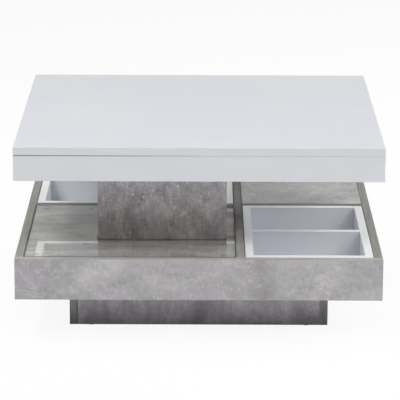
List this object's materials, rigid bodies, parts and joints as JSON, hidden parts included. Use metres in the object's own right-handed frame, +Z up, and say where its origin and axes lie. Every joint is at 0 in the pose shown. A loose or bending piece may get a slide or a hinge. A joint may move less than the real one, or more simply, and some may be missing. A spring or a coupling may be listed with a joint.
{
  "type": "swivel coffee table",
  "caption": "Square coffee table: a white top on an apron swivels on an off-centre column above a concrete-look tray with dividers, a glass plate and lift-out boxes, on a recessed plinth.",
  "frame": {"origin": "on the floor under the middle of the square tray", "axes": "+Z up; -Y towards the front, where the glass zone is at the left; +X to the right"},
  "size_m": [0.67, 0.67, 0.36],
  "materials": {
    "white_board": "white melamine, smooth satin",
    "concrete_board": "concrete-look decor with olive grey edge banding",
    "white_hardboard": "white lacquered hardboard",
    "raw_board": "bare chipboard",
    "beech": "planed beech",
    "glass": "clear float glass, ground edges",
    "soft_pad": "clear silicone",
    "zinc_steel": "zinc-plated pressed steel",
    "ball_steel": "polished bearing steel",
    "cage_plastic": "natural nylon",
    "screw_steel": "zinc-plated",
    "zinc_casting": "bare zinc die casting",
    "glide_plastic": "moulded plastic"
  },
  "bodies": {
    "frame": {"column_front": "concrete_board", "column_back": "concrete_board", "column_left": "concrete_board", "column_right": "concrete_board", "tray_front": "concrete_board", "tray_back": "concrete_board", "tray_left": "concrete_board", "tray_right": "concrete_board", "base_front": "concrete_board", "base_back": "concrete_board", "base_left": "concrete_board", "base_right": "concrete_board", "tray_bottom": "concrete_board", "long_divider": "concrete_board", "cross_divider": "concrete_board", "front_panel": "concrete_board", "rear_panel": "concrete_board", "column_cap": "raw_board", "column_foot": "raw_board", "front_panel_cleats": "beech", "rear_panel_cleats": "beech", "base_corner_blocks": "beech", "column_dowels": "beech", "tray_dowels": "beech", "base_dowels": "beech", "glass_plate": "glass", "glass_pads": "soft_pad", "lower_swivel_plate": "zinc_steel", "base_block_screws": "screw_steel", "lower_plate_screws": "screw_steel", "column_foot_screws": "screw_steel", "cam_locks": "zinc_casting", "cam_bolts": "screw_steel", "floor_glides": "glide_plastic"},
    "top": {"top_panel": "white_board", "apron_front": "white_board", "apron_back": "white_board", "apron_left": "white_board", "apron_right": "white_board", "top_dowels": "beech", "top_corner_blocks": "beech", "top_block_screws": "screw_steel", "upper_plate_screws": "screw_steel", "upper_swivel_plate": "zinc_steel"},
    "ball_ring": {"bearing_balls": "ball_steel", "ball_cage": "cage_plastic"},
    "front_insert": {"front_insert_front_wall": "white_board", "front_insert_back_wall": "white_board", "front_insert_left_wall": "white_board", "front_insert_right_wall": "white_board", "front_insert_divider": "white_board", "front_insert_bottom": "white_hardboard"},
    "rear_insert": {"rear_insert_front_wall": "white_board", "rear_insert_back_wall": "white_board", "rear_insert_left_wall": "white_board", "rear_insert_right_wall": "white_board", "rear_insert_divider": "white_board", "rear_insert_bottom": "white_hardboard"}
  },
  "joints": [
    {"name": "top_swivel", "type": "hinge", "parent": "frame", "child": "top", "pos_m": [-0.0685, -0.0765, 0.3405], "axis": [0, 0, 1], "continuous": true},
    {"name": "ball_ring_turn", "type": "hinge", "parent": "frame", "child": "ball_ring", "pos_m": [-0.0685, -0.0765, 0.3405], "axis": [0, 0, 1], "continuous": true},
    {"name": "front_insert_lift", "type": "slide", "parent": "frame", "child": "front_insert", "axis": [0, 0, 1], "range_m": [0, 0.07]},
    {"name": "rear_insert_lift", "type": "slide", "parent": "frame", "child": "rear_insert", "axis": [0, 0, 1], "range_m": [0, 0.07]}
  ],
  "couplings": [
    {"joint": "ball_ring_turn", "follows": "top_swivel", "ratio": 0.5}
  ]
}
